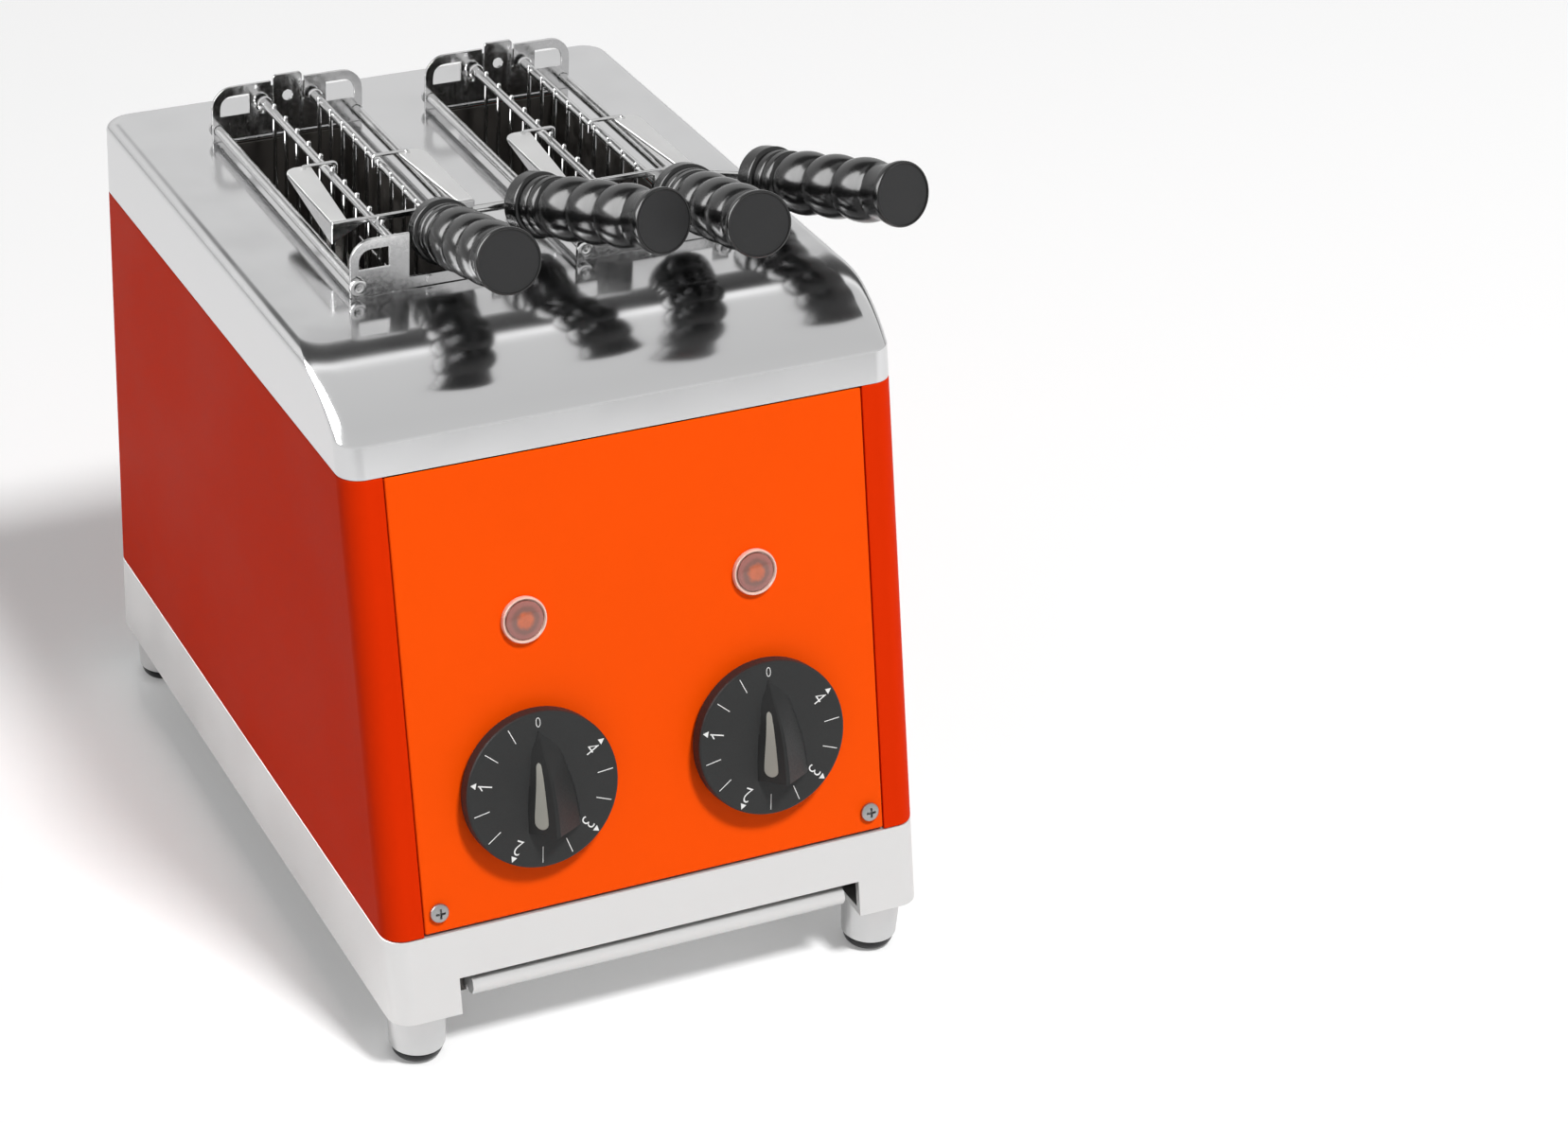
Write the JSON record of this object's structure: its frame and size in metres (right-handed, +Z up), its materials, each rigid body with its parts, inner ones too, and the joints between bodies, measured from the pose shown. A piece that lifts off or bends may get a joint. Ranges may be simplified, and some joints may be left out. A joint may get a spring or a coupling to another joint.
{
  "type": "tong toaster",
  "caption": "Upright slot toaster with sloping front, turning timer dials, hinged toast tongs with ribbed handles and a sliding crumb tray.",
  "frame": {"origin": "on the floor plane, under the middle of the whole outline, tong handles and dial grips included", "axes": "+Z up, +X to the right seen from the controls, +Y from the controls to the back"},
  "size_m": [0.2572, 0.3556, 0.34],
  "materials": {
    "polished_cover": "mirror polished",
    "satin_base": "fine satin",
    "satin_steel": "satin",
    "orange_paint": "gloss orange",
    "dark_steel": "dull, heat-darkened",
    "foot_metal": "satin",
    "foot_rubber": "matte",
    "screw_metal": "satin",
    "lamp_ring": "clear, takes the colour of the panel",
    "lamp_lens": "smoky amber",
    "black_housing": "matte",
    "dial_grey": "matte dark grey with white marks",
    "insert_grey": "matte",
    "chrome_wire": "bright",
    "quartz": "frosted quartz",
    "handle_black": "gloss with a matte end cap"
  },
  "bodies": {
    "housing": {"base_skirt": "satin_base", "chassis_floor": "dark_steel", "shell": "orange_paint", "cord_gland": "black_housing", "top_cover": "polished_cover", "front_panel": "orange_paint", "foot_front_left": "foot_metal", "foot_tip_front_left": "foot_rubber", "foot_front_right": "foot_metal", "foot_tip_front_right": "foot_rubber", "foot_rear_left": "foot_metal", "foot_tip_rear_left": "foot_rubber", "foot_rear_right": "foot_metal", "foot_tip_rear_right": "foot_rubber", "panel_screw_left": "screw_metal", "lamp_left_bezel": "lamp_ring", "lamp_left_lens": "lamp_lens", "timer_left": "black_housing", "chamber_left": "dark_steel", "front_bracket_left": "chrome_wire", "rear_bracket_left": "chrome_wire", "heater_left_left": "quartz", "outer_rod_left_left": "chrome_wire", "heater_left_right": "quartz", "outer_rod_left_right": "chrome_wire", "panel_screw_right": "screw_metal", "lamp_right_bezel": "lamp_ring", "lamp_right_lens": "lamp_lens", "timer_right": "black_housing", "chamber_right": "dark_steel", "front_bracket_right": "chrome_wire", "rear_bracket_right": "chrome_wire", "heater_right_left": "quartz", "outer_rod_right_left": "chrome_wire", "heater_right_right": "quartz", "outer_rod_right_right": "chrome_wire"},
    "crumb_tray": {"crumb_tray": "satin_steel"},
    "dial_left": {"dial_left": "dial_grey", "dial_left_insert": "insert_grey", "timer_left_shaft": "screw_metal"},
    "tong_left_left": {"tong_left_left_grid": "chrome_wire", "tong_left_left_bracket": "chrome_wire", "tong_left_left_handle": "handle_black"},
    "tong_left_right": {"tong_left_right_grid": "chrome_wire", "tong_left_right_bracket": "chrome_wire", "tong_left_right_handle": "handle_black"},
    "dial_right": {"dial_right": "dial_grey", "dial_right_insert": "insert_grey", "timer_right_shaft": "screw_metal"},
    "tong_right_left": {"tong_right_left_grid": "chrome_wire", "tong_right_left_bracket": "chrome_wire", "tong_right_left_handle": "handle_black"},
    "tong_right_right": {"tong_right_right_grid": "chrome_wire", "tong_right_right_bracket": "chrome_wire", "tong_right_right_handle": "handle_black"}
  },
  "joints": [
    {"name": "crumb_tray_slide", "type": "slide", "parent": "housing", "child": "crumb_tray", "axis": [0, -1, 0], "range_m": [0, 0.25]},
    {"name": "dial_left_turn", "type": "hinge", "parent": "housing", "child": "dial_left", "pos_m": [-0.05965, -0.15542, 0.11398], "axis": [0, 0.9721, -0.2346], "range_deg": [0, 300]},
    {"name": "dial_right_turn", "type": "hinge", "parent": "housing", "child": "dial_right", "pos_m": [0.04235, -0.15542, 0.11398], "axis": [0, 0.9721, -0.2346], "range_deg": [0, 300]},
    {"name": "tong_left_lift", "type": "slide", "parent": "housing", "child": "tong_left_left", "axis": [0, 0, 1], "range_m": [0, 0.15]},
    {"name": "tong_left_squeeze", "type": "hinge", "parent": "tong_left_left", "child": "tong_left_right", "pos_m": [-0.05825, 0.11479, 0.168], "axis": [0, 0, -1], "range_deg": [0, 2]},
    {"name": "tong_right_lift", "type": "slide", "parent": "housing", "child": "tong_right_left", "axis": [0, 0, 1], "range_m": [0, 0.15]},
    {"name": "tong_right_squeeze", "type": "hinge", "parent": "tong_right_left", "child": "tong_right_right", "pos_m": [0.04095, 0.11479, 0.168], "axis": [0, 0, -1], "range_deg": [0, 2]}
  ]
}
